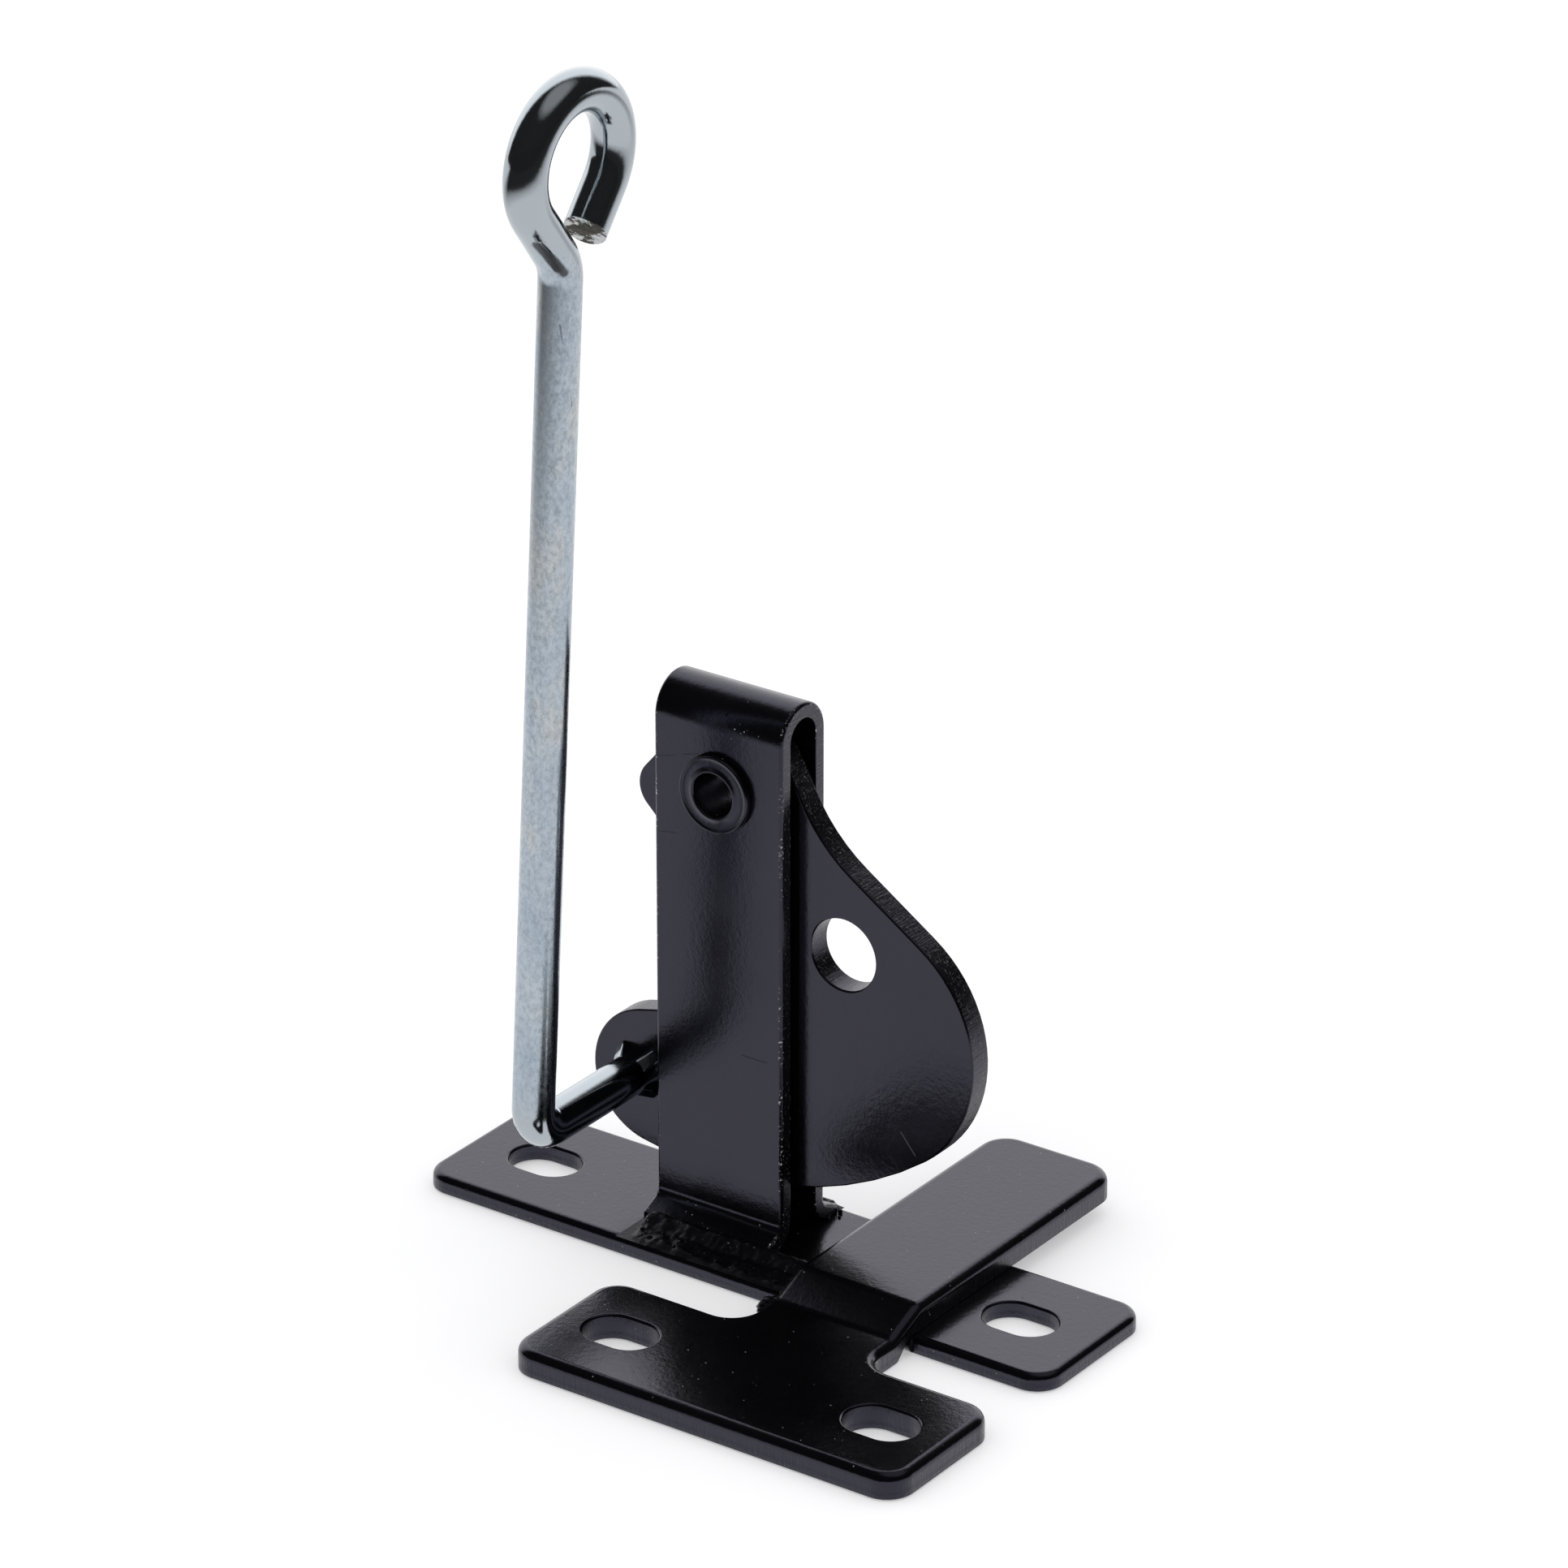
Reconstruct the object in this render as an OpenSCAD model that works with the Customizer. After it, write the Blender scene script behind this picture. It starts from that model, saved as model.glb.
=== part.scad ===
// Gravity latch for a gate: a folded sheet housing and two welded crossbars carry
// a swinging pawl, and a pull rod with an eye lifts it.
// X runs along the crossbars, Y along the striker bar that the latch catches, and
// Z away from the post. The origin is the middle of the rear crossbar on the back face.

/* [Rear crossbar] */
// Length of the rear crossbar
rear_bar_l = 106; // [98:1:130]
// Width of the rear crossbar
rear_bar_w = 25.4; // [24:0.2:32]
// Sheet thickness of the rear crossbar
rear_bar_t = 2.6; // [2:0.1:3.2]
// Corner radius of both crossbars
bar_corner_r = 4.2; // [2:0.1:6]

/* [Stop plate] */
// Sheet thickness of the stop plate
stop_plate_t = 3.8; // [3:0.1:4.5]
// Length of the front crossbar
front_bar_l = 64; // [56:1:80]
// Width of the front crossbar
front_bar_w = 24; // [20:0.5:30]
// Gap between the two crossbars
bar_gap = 11.6; // [9.5:0.1:16]
// Width of the neck and tongue
tongue_w = 20.6; // [16:0.2:24]
// How far the tongue overhangs the rear crossbar
tongue_overhang = 26.1; // [18:0.1:36]
// Corner radius at the tongue's free end
tongue_corner_r = 4.4; // [2:0.1:7]
// Radius in the corners between neck and front crossbar
neck_fillet_r = 4.2; // [2:0.1:5]
// Length of the slope where the plate steps up over the rear crossbar
joggle_l = 7.6; // [6:0.1:9]
// Bend radius on top of the step
joggle_r = 3.5; // [1:0.1:5]

/* [Mounting slots] */
// Length of each slot, end to end
slot_l = 11.1; // [9:0.1:14]
// Width of each slot
slot_w = 8; // [5:0.1:8.5]
// Distance between the slots of the rear crossbar
rear_slot_pitch = 81; // [76:0.5:84]
// Distance between the slots of the front crossbar
front_slot_pitch = 43; // [40:0.5:46]

/* [Pawl housing] */
// Width of the folded housing
housing_w = 21.3; // [18:0.1:26]
// Height of the housing above the rear crossbar
housing_h = 81.1; // [76:0.5:100]
// Sheet thickness of the housing
housing_t = 2.2; // [2:0.1:2.8]
// Sideways place of the housing and pivot on the rear crossbar
housing_x = -8.2; // [-10:0.1:-6]
// Place of the housing's middle plane across the rear crossbar
housing_y = 2.45; // [1.5:0.05:3]
// Length of the toes bent out at the foot
toe_l = 3.6; // [3:0.1:4.4]
// Thickness of the toes at their ends, which slope down to the weld
toe_tip_t = 1.2; // [0.8:0.1:2]
// Inside radius of the foot bends
foot_bend_r = 1.6; // [1:0.1:2.4]

/* [Pawl] */
// Thickness of the pawl plate
pawl_t = 3.8; // [3:0.1:4.5]
// Play on each side of the pawl inside the housing
side_play = 1.05; // [0.5:0.05:1.5]
// Distance from the housing's top down to the pivot
pivot_drop = 14.1; // [13.5:0.1:16]
// Radius of the pawl's round head
head_r = 10.6; // [9:0.1:10.7]
// Radius of the pawl's curved bottom edge
sole_r = 58.3; // [58:0.1:60]
// Radius of the lobe that carries the pull rod
lobe_r = 10.4; // [9.4:0.1:11.4]
// Radius of the nose that drops behind the striker bar
nose_r = 19.8; // [18:0.1:21]
// Radius of the hollow between head and lobe
waist_r = 12.4; // [11:0.1:13.4]
// Diameter of the padlock hole
padlock_hole_d = 10.6; // [6:0.1:12]

/* [Pivot rivet] */
// Outside diameter of the hollow rivet
rivet_d = 8; // [7:0.1:9]
// Wall of the hollow rivet
rivet_wall = 0.8; // [0.6:0.1:1.2]
// Diameter of the rivet's rolled heads
rivet_head_d = 11.4; // [10.4:0.1:13]
// Thickness of the rivet's rolled heads
rivet_head_t = 1.3; // [0.8:0.1:1.8]
// Radial running clearance of the pawl on the rivet
pivot_play = 0.08; // [0.02:0.01:0.1]

/* [Pull rod] */
// Diameter of the rod
rod_d = 6; // [5:0.1:6.4]
// Distance from the pawl's front face out to the rod's upright leg
rod_reach = 24.7; // [20:0.1:34]
// Length of the upright leg up to the eye's first bend
rod_leg_l = 127.4; // [90:0.1:150]
// Lean of the upright leg towards the housing
rod_lean = 3.0; // [0:0.1:5]
// Radius of the corner bend along the rod's middle
rod_corner_r = 4.4; // [4:0.1:8]
// Radius of the eye along the rod's middle
eye_r = 9.5; // [9:0.1:14]
// How far the rod turns aside before it starts the eye
eye_jog_angle = 38; // [34:1:44]
// Radius of that first bend
eye_jog_r = 7; // [4:0.1:8]
// How far the eye's middle stands behind the upright leg
eye_offset = 1.2; // [0:0.1:2]
// Angle that the eye's round part turns through
eye_turn = 253; // [245:1:258]
// Straight end of the eye, down to the cut
eye_tail_l = 7.2; // [4:0.1:8.2]

/* [Hidden] */
$fn = 64;
// Angle of each step along an arc of an outline, and along a small rounded rim
arc_step = 5;
rim_step = 15;
// A little extra, so that a cut passes right through
cut = 1;

black_coat = "#1d1e20";
bare_zinc = "#aeb8c0";

// Places that follow from the sizes above
rear_bar_front = -rear_bar_w / 2;
rear_bar_back = rear_bar_w / 2;
front_bar_x = rear_bar_l / 2 - front_bar_l / 2;
front_bar_back = rear_bar_front - bar_gap;
front_bar_front = front_bar_back - front_bar_w;
front_bar_y = (front_bar_front + front_bar_back) / 2;
tongue_back = rear_bar_back + tongue_overhang;
tongue_top = rear_bar_t + stop_plate_t;

pawl_gap = pawl_t + 2 * side_play;
housing_front = housing_y - pawl_gap / 2 - housing_t;
housing_back = housing_y + pawl_gap / 2 + housing_t;
housing_top = rear_bar_t + housing_h;
pivot_z = housing_top - pivot_drop;
fold_r = (housing_back - housing_front) / 2;

// Clear gap between the stepped plate and the rear crossbar's front edge
joggle_gap = 0.4;
// Run and bend radius of the step on the underside
joggle_under_l = 3.4;
joggle_under_r = 1;

// Pawl outline, as discs round the pivot: [x, z, radius], with a negative radius
// where the outline is hollow. The lobe and the nose run into the sole's arc.
sole_disc = [-3.2, -2, sole_r];
lobe_disc = disc_in_sole(-102.4, lobe_r);
nose_disc = disc_in_sole(-52.5, nose_r);
brow_disc = [34.1, 12.6, -25.5];
shoulder_disc = [-11.5, -3.7, 4.2];
waist_disc = [lobe_disc[0] + 0.2, lobe_disc[1] + lobe_r + waist_r + 0.8, -waist_r];
padlock_hole = [18.6, -20.6];
// The rod's hole lies a little off the lobe's middle
rod_hole_off = [-2.6, 0.7];
rod_hole = [lobe_disc[0] + rod_hole_off[0], lobe_disc[1] + rod_hole_off[1]];

// The rod's end is turned down, set through the pawl and spread behind it
rod_shoulder = 0.5;
rod_head_spread = 1;
rod_tenon_d = rod_d - 2 * rod_shoulder;
rod_head_d = rod_d + 2 * rod_head_spread;
rod_head_t = 0.45;
bend_thinning = 0.01;
bend_lap = 0.5;
stake_ear_h = 1.7;
stake_ear_w = 1.7;
stake_ear_l = 2.2;

// Weld beads
weld_h = 1.2;
weld_edge_h = 0.35;
weld_inset = 1.2;

// Disc that touches the sole's arc from inside, at an angle round the sole's centre
function disc_in_sole(angle, r) =
    [sole_disc[0] + (sole_r - r) * cos(angle), sole_disc[1] + (sole_r - r) * sin(angle), r];

// Unwound angle between 0 and 360
function wrap(angle) = (angle % 360 + 360) % 360;

// Heading of the straight run from disc a to disc b
function heading(a, b) =
    let (run = [b[0] - a[0], b[1] - a[1]],
         slope = (a[2] - b[2]) / norm(run))
    atan2(run[1], run[0]) + asin(max(-1, min(1, slope)));

// The stretch of outline on disc b, between its neighbours a and c
function disc_arc(a, b, c, step) =
    let (start = heading(a, b),
         finish = heading(b, c),
         turn = b[2] < 0 ? -wrap(start - finish) : wrap(finish - start),
         steps = b[2] == 0 ? 0 : max(1, ceil(abs(turn) / step)))
    [for (i = [0 : steps])
        let (along = steps == 0 ? start : start + turn * i / steps)
        [b[0] + b[2] * sin(along), b[1] - b[2] * cos(along)]];

// Outline of a band pulled round discs [x, y, radius], counter-clockwise. A
// negative radius makes a hollow corner and a radius of 0 a sharp one.
function belt(discs, step = arc_step) =
    let (n = len(discs))
    [for (i = [0 : n - 1])
        each disc_arc(discs[(i + n - 1) % n], discs[i], discs[(i + 1) % n], step)];

function box_discs(x0, y0, x1, y1, r) =
    [[x0 + r, y0 + r, r], [x1 - r, y0 + r, r], [x1 - r, y1 - r, r], [x0 + r, y1 - r, r]];

// Lays a profile drawn in Y and Z along X, from x0 to x1
module along_x(x0, x1) {
    translate([x0, 0, 0])
        rotate([90, 0, 90])
            linear_extrude(x1 - x0)
                children();
}

// Stands a profile drawn in X and Z up, from y0 to y1
module along_y(y0, y1) {
    translate([0, y1, 0])
        rotate([90, 0, 0])
            linear_extrude(y1 - y0)
                children();
}

module slot_pair(pitch, through) {
    half_straight = (slot_l - slot_w) / 2;
    for (side = [-1, 1])
        translate([side * pitch / 2, 0, -cut]) {
            for (end = [-1, 1])
                translate([end * half_straight, 0, 0])
                    cylinder(h = through + 2 * cut, d = slot_w);
            translate([-half_straight, -slot_w / 2, 0])
                cube([2 * half_straight, slot_w, through + 2 * cut]);
        }
}

module rear_crossbar() {
    color(black_coat)
        difference() {
            linear_extrude(rear_bar_t)
                polygon(belt(box_discs(-rear_bar_l / 2, rear_bar_front,
                                       rear_bar_l / 2, rear_bar_back, bar_corner_r)));
            slot_pair(rear_slot_pitch, rear_bar_t);
        }
}

// Plan of the front crossbar with the neck and tongue behind it
function stop_plate_plan() =
    let (left = front_bar_x - front_bar_l / 2,
         right = front_bar_x + front_bar_l / 2,
         neck_left = front_bar_x - tongue_w / 2,
         neck_right = front_bar_x + tongue_w / 2,
         r = bar_corner_r,
         f = neck_fillet_r,
         t = tongue_corner_r)
    belt([[left + r, front_bar_front + r, r],
          [right - r, front_bar_front + r, r],
          [right - r, front_bar_back - r, r],
          [neck_right + f, front_bar_back + f, -f],
          [neck_right - t, tongue_back - t, t],
          [neck_left + t, tongue_back - t, t],
          [neck_left - f, front_bar_back + f, -f],
          [left + r, front_bar_back - r, r]]);

// Side view of the stop plate, which steps up over the rear crossbar's edge
function stop_plate_side() =
    let (step_end = rear_bar_front - joggle_gap,
         step_start = step_end - joggle_under_l,
         slope_start = step_start - cut,
         slope_end = slope_start + joggle_l,
         u = joggle_under_r)
    belt([[front_bar_front - cut, 0, 0],
          [step_start, u, u],
          [step_end, rear_bar_t - u, -u],
          [tongue_back + cut, rear_bar_t, 0],
          [tongue_back + cut, tongue_top, 0],
          [slope_end, tongue_top - joggle_r, joggle_r],
          [slope_start, stop_plate_t + joggle_r, -joggle_r],
          [front_bar_front - cut, stop_plate_t, 0]]);

module stop_plate() {
    color(black_coat)
        difference() {
            intersection() {
                linear_extrude(tongue_top + cut)
                    polygon(stop_plate_plan());
                along_x(front_bar_x - front_bar_l, front_bar_x + front_bar_l)
                    polygon(stop_plate_side());
            }
            translate([front_bar_x, front_bar_y, 0])
                slot_pair(front_slot_pitch, stop_plate_t);
        }
}

// Side view of the housing: one strip folded double, with its feet turned out
function housing_side() =
    let (z0 = rear_bar_t,
         toe_top = z0 + housing_t,
         b = foot_bend_r,
         o = foot_bend_r + housing_t,
         gap_front = housing_front + housing_t,
         gap_back = housing_back - housing_t,
         inner_r = fold_r - housing_t)
    belt([[housing_front - toe_l, z0, 0],
          [gap_front - o, z0 + o, o],
          [gap_front + inner_r, housing_top - fold_r, -inner_r],
          [gap_back + o, z0 + o, o],
          [housing_back + toe_l, z0, 0],
          [housing_back + toe_l, z0 + toe_tip_t, 0],
          [housing_back + b, toe_top + b, -b],
          [housing_back - fold_r, housing_top - fold_r, fold_r],
          [housing_front - b, toe_top + b, -b],
          [housing_front - toe_l, z0 + toe_tip_t, 0]]);

module pawl_housing() {
    color(black_coat)
        difference() {
            along_x(housing_x - housing_w / 2, housing_x + housing_w / 2)
                polygon(housing_side());
            translate([housing_x, housing_back + cut, pivot_z])
                rotate([90, 0, 0])
                    cylinder(h = 2 * (fold_r + cut), d = rivet_d);
        }
}

// Flat weld in front of the housing's toe, run up to the neck's left side
module front_toe_weld() {
    toe = housing_front - toe_l;
    z0 = rear_bar_t;
    color(black_coat)
        along_x(housing_x - housing_w / 2 + weld_inset, front_bar_x - tongue_w / 2)
            polygon([[rear_bar_front + weld_edge_h, z0],
                     [toe, z0],
                     [toe, z0 + weld_h],
                     [toe - weld_h, z0 + 0.7 * weld_h],
                     [rear_bar_front + weld_h, z0 + 0.3 * weld_h]]);
}

// Small fillet behind the rear toe
module rear_toe_weld() {
    toe = housing_back + toe_l;
    z0 = rear_bar_t;
    leg = min(weld_h, rear_bar_back - toe);
    color(black_coat)
        along_x(housing_x - housing_w / 2 + weld_inset, housing_x + housing_w / 2 - weld_inset)
            polygon([[toe, z0],
                     [toe + leg, z0],
                     [toe, z0 + leg]]);
}

// Bead in the corner under the step, against the rear crossbar's front edge
module neck_weld() {
    gap = rear_bar_front;
    color(black_coat)
        along_x(front_bar_x - tongue_w / 2, front_bar_x + tongue_w / 2)
            polygon([[gap, weld_edge_h],
                     [gap, rear_bar_t],
                     [gap - joggle_gap, rear_bar_t],
                     [gap - joggle_gap - 1, weld_edge_h + 0.9]]);
}

// Section of the hollow rivet, from its axis out: a tube whose two ends are rolled
// outwards over the housing, with a rounded mouth and rim
function rivet_section() =
    let (wall_end = fold_r,
         end = wall_end + rivet_head_t,
         bore = rivet_d / 2 - rivet_wall,
         rim = rivet_head_d / 2,
         mouth_r = 0.6 * rivet_head_t,
         rim_r = 0.4 * rivet_head_t,
         under_r = 0.25 * rivet_head_t,
         front = [[rim - under_r, wall_end + under_r, under_r],
                  [rim - rim_r, end - rim_r, rim_r],
                  [bore + mouth_r, end - mouth_r, mouth_r]])
    belt([[bore + mouth_r, mouth_r - end, mouth_r],
          [rim - rim_r, rim_r - end, rim_r],
          [rim - under_r, -wall_end - under_r, under_r],
          [rivet_d / 2, -wall_end, 0],
          [rivet_d / 2, wall_end, 0],
          each front], rim_step);

module pivot_rivet() {
    color(black_coat)
        translate([housing_x, housing_y, pivot_z])
            rotate([90, 0, 0])
                rotate_extrude()
                    polygon(rivet_section());
}

// Places children in the pawl's plane, with the pivot as origin
module at_pivot() {
    translate([housing_x, housing_y, pivot_z])
        children();
}

module pawl() {
    half_t = pawl_t / 2;
    color(black_coat)
        at_pivot()
            difference() {
                along_y(-half_t, half_t)
                    polygon(belt([[0, 0, head_r],
                                  shoulder_disc,
                                  waist_disc,
                                  lobe_disc,
                                  sole_disc,
                                  nose_disc,
                                  brow_disc]));
                for (hole = [[0, 0, rivet_d + 2 * pivot_play],
                             [padlock_hole[0], padlock_hole[1], padlock_hole_d],
                             [rod_hole[0], rod_hole[1], rod_tenon_d]])
                    translate([hole[0], half_t + cut, hole[1]])
                        rotate([90, 0, 0])
                            cylinder(h = pawl_t + 2 * cut, d = hole[2]);
            }
}

// A straight stretch of rod, up the local Z axis. Children go on from its end.
module rod_straight(length) {
    cylinder(h = length, d = rod_d);
    translate([0, 0, length])
        children();
}

// A bend of the rod towards local -X, rolled round the rod first by the angle roll.
// It is a hair thinner than the straights and runs a little way into both of them.
module rod_bend(radius, angle, roll = 0) {
    rotate(roll)
        translate([-radius, 0, 0]) {
            rotate([90, 0, 0])
                rotate(-bend_lap)
                    rotate_extrude(angle = angle + 2 * bend_lap)
                        translate([radius, 0])
                            circle(d = rod_d - 2 * bend_thinning);
            rotate([0, -angle, 0])
                translate([radius, 0, 0])
                    children();
        }
}

// Rod end in the pawl: turned-down tenon, spread head and four staked ears
module rod_tenon() {
    translate([0, 0, -pawl_t - rod_head_t / 2])
        cylinder(h = pawl_t + rod_head_t / 2 + cut, d = rod_tenon_d);
    translate([0, 0, -pawl_t - rod_head_t])
        cylinder(h = rod_head_t, d = rod_head_d);
    for (turn = [45 : 90 : 315])
        rotate([90, 0, turn])
            linear_extrude(stake_ear_w, center = true)
                polygon([[0, 0],
                         [rod_d / 2 + stake_ear_h, 0],
                         [rod_d / 2 + stake_ear_h, 0.4 * stake_ear_l],
                         [0.45 * rod_d, stake_ear_l],
                         [0, stake_ear_l]]);
}

module pull_rod() {
    stub_l = rod_reach - rod_corner_r;
    // Straight run between the first bend and the eye
    jog_run = ((eye_jog_r + eye_r) * cos(eye_jog_angle) - eye_jog_r - eye_offset)
              / sin(eye_jog_angle);
    color(bare_zinc)
        at_pivot()
            translate([rod_hole[0], -pawl_t / 2, rod_hole[1]])
                rotate([0, rod_lean, 0])
                    rotate([90, 0, 0])
                        rotate(-90) {
                            rod_tenon();
                            rod_straight(stub_l)
                                rod_bend(rod_corner_r, 90)
                                    rod_straight(rod_leg_l - rod_corner_r)
                                        rod_bend(eye_jog_r, eye_jog_angle, 180)
                                            rod_straight(jog_run)
                                                rod_bend(eye_r, eye_turn, 180)
                                                    rod_straight(eye_tail_l);
                        }
}

rear_crossbar();
stop_plate();
pawl_housing();
front_toe_weld();
rear_toe_weld();
neck_weld();
pivot_rivet();
pawl();
pull_rod();
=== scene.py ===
# %% [markdown]
# # Gravity latch: the looks
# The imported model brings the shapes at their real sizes. This script dresses them: pressed
# sheet edges, a rolled rivet, rough weld beads, a bent zinc rod, and their finishes.
# Everything is in metres, in the same frame as the model.

import math

import bmesh
import bpy
from mathutils import Matrix, Vector, noise


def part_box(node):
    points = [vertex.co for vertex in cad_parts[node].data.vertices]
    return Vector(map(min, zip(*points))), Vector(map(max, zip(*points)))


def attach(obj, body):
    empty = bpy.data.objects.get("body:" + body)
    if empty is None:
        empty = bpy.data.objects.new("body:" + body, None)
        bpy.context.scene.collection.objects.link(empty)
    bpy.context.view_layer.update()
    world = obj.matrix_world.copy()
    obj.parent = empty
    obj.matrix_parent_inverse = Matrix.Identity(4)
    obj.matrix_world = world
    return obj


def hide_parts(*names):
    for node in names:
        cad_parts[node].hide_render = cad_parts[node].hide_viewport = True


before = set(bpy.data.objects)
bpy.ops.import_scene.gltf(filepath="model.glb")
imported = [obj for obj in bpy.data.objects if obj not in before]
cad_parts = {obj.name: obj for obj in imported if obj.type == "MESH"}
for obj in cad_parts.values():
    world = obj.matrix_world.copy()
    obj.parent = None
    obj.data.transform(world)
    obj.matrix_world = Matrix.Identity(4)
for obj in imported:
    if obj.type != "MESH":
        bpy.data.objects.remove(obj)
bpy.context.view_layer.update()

MM = 0.001

# %% [markdown]
# ## Camera
# The photograph was taken from the right and a little above with a long lens. Solving the
# corners of the crossbars gave the place and the lens, so the render overlays the photo.

# %% Camera
AZIMUTH = math.radians(35.308)
ELEVATION = math.radians(24.737)
CAMERA_PLACE = (0.552873, -0.779262, 0.512309)
FILM_WIDTH = 36
FOCAL_LENGTH = 178.36

towards_camera = Vector((math.sin(AZIMUTH) * math.cos(ELEVATION),
                         -math.cos(AZIMUTH) * math.cos(ELEVATION),
                         math.sin(ELEVATION)))
camera_data = bpy.data.cameras.new("photo_camera")
camera_data.sensor_width = FILM_WIDTH
camera_data.lens = FOCAL_LENGTH
camera_data.clip_start = 0.05
camera_data.clip_end = 20
camera = bpy.data.objects.new("photo_camera", camera_data)
bpy.context.scene.collection.objects.link(camera)
camera.location = CAMERA_PLACE
camera.rotation_mode = "QUATERNION"
camera.rotation_quaternion = (-towards_camera).to_track_quat("-Z", "Y")
bpy.context.scene.camera = camera
print("camera at", tuple(round(v, 4) for v in camera.location))

# %% [markdown]
# ## Small helpers for modelling
# Operators act on what is selected, so each step first deselects everything and then picks
# edges or faces by their place. A pressed part starts as a copy of the model's own solid:
# its loose triangles are merged and flat neighbours dissolved, which leaves clean edges
# that a bevel can follow.

# %% Selecting, and copies of the model's solids
MERGE_DISTANCE = 0.001 * MM
FLAT_ANGLE = math.radians(0.6)


def deselect_all():
    if bpy.context.mode != "OBJECT":
        bpy.ops.object.mode_set(mode="OBJECT")
    bpy.ops.object.select_all(action="DESELECT")


def work_on(piece):
    deselect_all()
    piece.select_set(True)
    bpy.context.view_layer.objects.active = piece


def edit(piece):
    work_on(piece)
    bpy.ops.object.mode_set(mode="EDIT")
    bpy.ops.mesh.select_all(action="DESELECT")


def finish_edit():
    bpy.ops.object.mode_set(mode="OBJECT")


def copy_of(node, name):
    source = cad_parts[node]
    piece = bpy.data.objects.new(name, source.data.copy())
    piece.data.name = name
    piece.data.materials.clear()
    bpy.context.scene.collection.objects.link(piece)
    edit(piece)
    bpy.ops.mesh.customdata_custom_splitnormals_clear()
    bpy.ops.mesh.select_all(action="SELECT")
    bpy.ops.mesh.remove_doubles(threshold=MERGE_DISTANCE)
    bpy.ops.mesh.dissolve_limited(angle_limit=FLAT_ANGLE)
    finish_edit()
    print(name, "starts with", len(piece.data.polygons), "faces")
    return piece


def pick(piece, kind, test):
    """Selects the edges or faces that pass the test, and says how many."""
    bpy.ops.mesh.select_mode(type=kind)
    bpy.ops.mesh.select_all(action="DESELECT")
    cage = bmesh.from_edit_mesh(piece.data)
    picked = 0
    for part in (cage.edges if kind == "EDGE" else cage.faces):
        if test(part):
            part.select_set(True)
            picked += 1
    bmesh.update_edit_mesh(piece.data)
    return picked


# %% [markdown]
# A piece has one material slot for each of its finishes, and its faces are sent to a slot
# by where they look. Edges are rounded with the bevel operator, and shading is smooth up to
# a chosen angle, with normals weighted by area so that flat faces stay flat.

# %% Finishing a piece
def coat(piece, *finishes):
    for finish in finishes:
        piece.data.materials.append(finish)


def give_finish(piece, test, index):
    edit(piece)
    picked = pick(piece, "FACE", test)
    piece.active_material_index = index
    bpy.ops.object.material_slot_assign()
    finish_edit()
    return picked


def is_corner(edge, angle=40):
    return len(edge.link_faces) == 2 and edge.calc_face_angle(0) > math.radians(angle)


def round_edges(piece, test, size, steps=4, finish=-1):
    """Even widths are asked for, because sliding along the cuts in a flat face folds them."""
    edit(piece)
    picked = pick(piece, "EDGE", lambda edge: is_corner(edge) and test(edge))
    bpy.ops.mesh.bevel(offset=size, segments=steps, affect="EDGES", clamp_overlap=False,
                       loop_slide=False, material=finish)
    finish_edit()
    print(piece.name, "rounded", picked, "edges by", round(size / MM, 2), "mm")


def smooth(piece, angle=32):
    work_on(piece)
    bpy.ops.object.shade_smooth_by_angle(angle=math.radians(angle))
    weights = piece.modifiers.new("flat_faces_stay_flat", "WEIGHTED_NORMAL")
    weights.keep_sharp = True
    bpy.ops.object.modifier_apply(modifier=weights.name)


def edges_at(axis, place):
    """Edges whose both ends lie at this place along the axis."""
    return lambda edge: all(abs(v.co[axis] - place) < 0.02 * MM for v in edge.verts)


def edges_between(first, second):
    """Edges with one face whose normal passes each test."""
    def test(edge):
        a, b = (face.normal for face in edge.link_faces)
        return (first(a) and second(b)) or (first(b) and second(a))
    return test


# %% [markdown]
# ## Finishes: small helpers
# Colours are written as on a colour chart (sRGB hex) and turned to linear light by one
# function. A second one adds a node, with its settings and its links, in one line.
# Patterns read Object coordinates, so their scale is in real millimetres.

# %% Finish helpers
def colour(hex_value):
    parts = [int(hex_value[i:i + 2], 16) / 255 for i in (1, 3, 5)]
    linear = [c / 12.92 if c <= 0.04045 else ((c + 0.055) / 1.055) ** 2.4 for c in parts]
    return (*linear, 1.0)


def add(tree, kind, **values):
    """Adds a node. A value that is a socket is linked to the input of that name, a value
    for an input is set on it, and any other value is a setting of the node. i0, i1 and so
    on stand for the inputs by number."""
    node = tree.nodes.new(kind)
    later = {}
    for key, value in values.items():
        if hasattr(node, key) and not isinstance(value, bpy.types.NodeSocket):
            setattr(node, key, value)
        else:
            later[key] = value
    for key, value in later.items():
        if key[0] == "i" and key[1:].isdigit():
            socket = node.inputs[int(key[1:])]
        else:
            socket = next(i for i in node.inputs
                          if i.enabled and i.name.replace(" ", "_") == key)
        if isinstance(value, bpy.types.NodeSocket):
            tree.links.new(value, socket)
        else:
            socket.default_value = value
    return node


def new_finish(name):
    finish = bpy.data.materials.new(name)
    finish.use_nodes = True
    tree = finish.node_tree
    return finish, tree, tree.nodes["Principled BSDF"]


def object_place(tree):
    return add(tree, "ShaderNodeTexCoord").outputs["Object"]


def per_mm(tree, millimetres, stretch=(1, 1, 1)):
    """Object coordinates scaled so that one unit is this many millimetres."""
    unit = 1 / (millimetres * MM)
    return add(tree, "ShaderNodeMapping", Vector=object_place(tree),
               Scale=tuple(unit / s for s in stretch)).outputs["Vector"]


def cloudy(tree, millimetres, detail, roughness=0.5, stretch=(1, 1, 1)):
    """Soft noise from 0 to 1 whose lumps are about this many millimetres wide."""
    return add(tree, "ShaderNodeTexNoise", Vector=per_mm(tree, millimetres, stretch), Scale=1.0,
               Detail=detail, Roughness=roughness).outputs["Fac"]


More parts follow.
